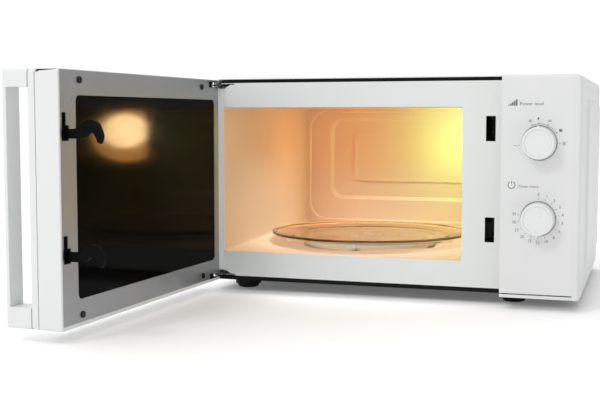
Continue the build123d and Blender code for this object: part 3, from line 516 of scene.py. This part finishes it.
def hinge_liner(name, low_z, high_z):
    """Thin black lining of one hinge cut-out, painted shade for the shadow in it: its back, its
    floor, its roof and its far end.
    """
    made = bmesh.new()
    skin, depth, start, end = 0.4, 7.6, 2.4, 25.8
    place = on_door(0, depth, 0)
    middle_z, height = (low_z + high_z) / 2, high_z - low_z
    length, centre = end - start, (start + end) / 2
    slab(made, bar(centre, middle_z, length, height), skin, place)
    slab(made, bar(centre, low_z + skin / 2, length, skin), depth - skin, place)
    slab(made, bar(centre, high_z - skin / 2, length, skin), depth - skin, place)
    slab(made, bar(end - skin / 2, middle_z, skin, height), depth - skin, place)
    piece(name, finished_mesh(name, made), painted_shade_black, "door")


def edge_liner():
    """Black lining at the bottom of the groove along the top of the door's free edge: painted shade
    for the shadow in the groove.
    """
    made = bmesh.new()
    # The groove's bottom: outward from the door's inner face, and up
    outline = [(2.8, 258.05), (20, 257.1), (24.2, 255.5), (24.2, 258.4), (2.8, 258.4)]
    across = Matrix(((0, 0, 1), (0, 1, 0), (-1, 0, 0))).to_4x4()
    slab(made, outline, 0.5, on_door(groove_bottom, 0, 0) @ across)
    return finished_mesh("edge_liner", made)


def weld_marks():
    """Small pressed rings where the metal frame is spot-welded, near the window's corners."""
    made = bmesh.new()
    for u in (6.2, 325.5):
        for z in (231, 46):
            slab(made, disc(2.6), 0.14, on_door(u, 0, z))
            slab(made, disc(1.5), 0.24, on_door(u, 0, z))
    return finished_mesh("weld_marks", made)


# Painted shade: black linings where the hinge cut-outs and the door's edge groove lie in shadow
hinge_liner("upper_hinge_shade_liner", *upper_cutout)
hinge_liner("lower_hinge_shade_liner", *lower_cutout)
piece("door_edge_shade_liner", edge_liner(), painted_shade_black, "door")
piece("weld_marks", weld_marks(), satin_steel, "door")

# ------------------------------------------------------------------ floor, light and camera


def placed(name, data, place=(0, 0, 0)):
    """A new object in the scene, at a place."""
    made_object = bpy.data.objects.new(name, data)
    bpy.context.scene.collection.objects.link(made_object)
    made_object.location = place
    return made_object


def add_light(name, kind, place, power, colour):
    """A light at a place."""
    light = placed(name, bpy.data.lights.new(name, kind), place)
    light.data.energy = power
    light.data.color = colour
    return light


def area_light(name, place, facing, size, power, colour=(1, 1, 1), height=None):
    """Soft light at a place, facing a direction: a square, or an ellipse if it has a height."""
    light = add_light(name, "AREA", place, power, colour)
    light.data.size = size
    if height:
        light.data.shape = "ELLIPSE"
        light.data.size_y = height
    light.rotation_euler = Vector(facing).to_track_quat("-Z", "Y").to_euler()
    return light


def point_light(name, place, radius, power, colour):
    """Small round light."""
    light = add_light(name, "POINT", place, power, colour)
    light.data.shadow_soft_size = radius
    return light


def pale_floor():
    """Plain pale floor, a little lifted by a glow of its own."""
    half = 6.0
    made, bsdf = shader("floor_paint")
    blend_colour(made, bsdf, noise(made, 2), (0.93, 0.93, 0.93), (0.95, 0.95, 0.95))
    bsdf.inputs["Roughness"].default_value = 0.9
    bsdf.inputs["Emission Color"].default_value = (1, 1, 1, 1)
    bsdf.inputs["Emission Strength"].default_value = 0.12
    mesh = bpy.data.meshes.new("floor")
    corners = [(-half, -half, 0), (half, -half, 0), (half, half, 0), (-half, half, 0)]
    mesh.from_pydata(corners, [], [(0, 1, 2, 3)])
    mesh.materials.append(made)
    return placed("floor", mesh)


def studio_world():
    """White surround: darker on the right, and a little brighter behind and above."""
    world = bpy.data.worlds.new("studio")
    world.use_nodes = True
    tree = world.node_tree
    place = tree.nodes.new("ShaderNodeTexCoord")
    split = tree.nodes.new("ShaderNodeSeparateXYZ")
    tree.links.new(place.outputs["Generated"], split.inputs["Vector"])
    # For each axis: the direction's limits, and the strength at those limits
    across, along, up = (
        spread(world, split.outputs[axis], first, last, start, end)
        for axis, start, end, first, last in (
            ("X", 0.0, 0.8, 0.92, 0.45),
            ("Y", -0.9, 0.0, 1.0, 1.12),
            ("Z", 0.2, 1.0, 1.0, 1.2),
        )
    )
    strength = across
    for other in (along, up):
        product = tree.nodes.new("ShaderNodeMath")
        product.operation = "MULTIPLY"
        tree.links.new(strength, product.inputs[0])
        tree.links.new(other, product.inputs[1])
        strength = product.outputs["Value"]
    background = tree.nodes["Background"]
    background.inputs["Color"].default_value = (1, 1, 1, 1)
    tree.links.new(strength, background.inputs["Strength"])
    return world


pale_floor()
bpy.context.scene.world = studio_world()
LEFT, DOWN = Vector((-1, 0, 0)), Vector((0, 0, -1))
key_at, key_target = Vector((-0.75, -1.9, 1.8)), Vector((0.1, -0.1, 0.1))
area_light("key", key_at, key_target - key_at, size=0.4, power=10)

# The cavity's light: the lamp shines from high on the right wall, two small coloured lights tint
# the back corners, and a broad one under the ceiling fills the rest
sheet = 1.5 * MM
right_wall, back_wall, ceiling = shell_high.x - sheet, shell_high.y, shell_high.z - sheet
back_right = Vector((right_wall, back_wall, ceiling))
back_left = Vector((shell_low.x, back_wall, ceiling))
front_right = Vector((right_wall, shell_low.y, ceiling))
middle = Vector(((shell_low.x + right_wall) / 2, (shell_low.y + back_wall) / 2, ceiling - 1 * MM))
lamp_at = front_right + Vector((-12, 246, -33)) * MM
lamp = area_light("cavity_lamp", lamp_at, LEFT, size=0.085, power=0.1, colour=(0.2, 0.45, 1.0))
spill = point_light(
    "cavity_spill", back_right + Vector((-65, -60, -52)) * MM,
    radius=0.02, power=0.2, colour=(0.55, 1.0, 0.0),
)
glow = point_light(
    "cavity_glow", back_left + Vector((95, -95, -50)) * MM,
    radius=0.03, power=0.11, colour=(1.0, 0.22, 0.0),
)
fill = area_light("cavity_fill", middle, DOWN, size=0.2, power=0.52, colour=(0.8, 0.93, 1.0))
fill.data.spread = math.radians(90)

# The lamp's glare, seen only in the door's black glass: a bright middle and an orange halo
glare = area_light(
    "lamp_glare", lamp_at + Vector((-2, 0, 0)) * MM, LEFT,
    size=0.13, height=0.052, power=1.5, colour=(1.0, 0.76, 0.4),
)
halo = area_light(
    "lamp_halo", lamp_at + Vector((-1, 12, -8)) * MM, LEFT,
    size=0.21, height=0.08, power=1.5, colour=(1.0, 0.42, 0.1),
)
door_glass = bpy.data.collections.new("door_glass")
door_glass.objects.link(nodes["door_inner_glass"])
for light in (glare, halo):
    light.light_linking.receiver_collection = door_glass
    light.visible_camera = False
for light in (lamp, spill, glow, fill):
    light.visible_camera = False
    light.visible_glossy = False
    light.visible_transmission = False
# The clear glass in the cavity casts no shadow
for glass in ("turntable_plate", "lamp_bulb"):
    nodes[glass].visible_shadow = False

# The photograph's view: from the right of the open door, turned to the left and slightly down
turned_left, tilted_down = 18.3, 4.49
camera = placed("camera", bpy.data.cameras.new("camera"), (0.2920, -1.3819, 0.2146))
camera.data.sensor_width = 36
camera.data.lens = 63.85
camera.rotation_euler = (math.radians(90 - tilted_down), 0, math.radians(turned_left))
bpy.context.scene.camera = camera
bpy.context.scene.view_settings.view_transform = "Standard"
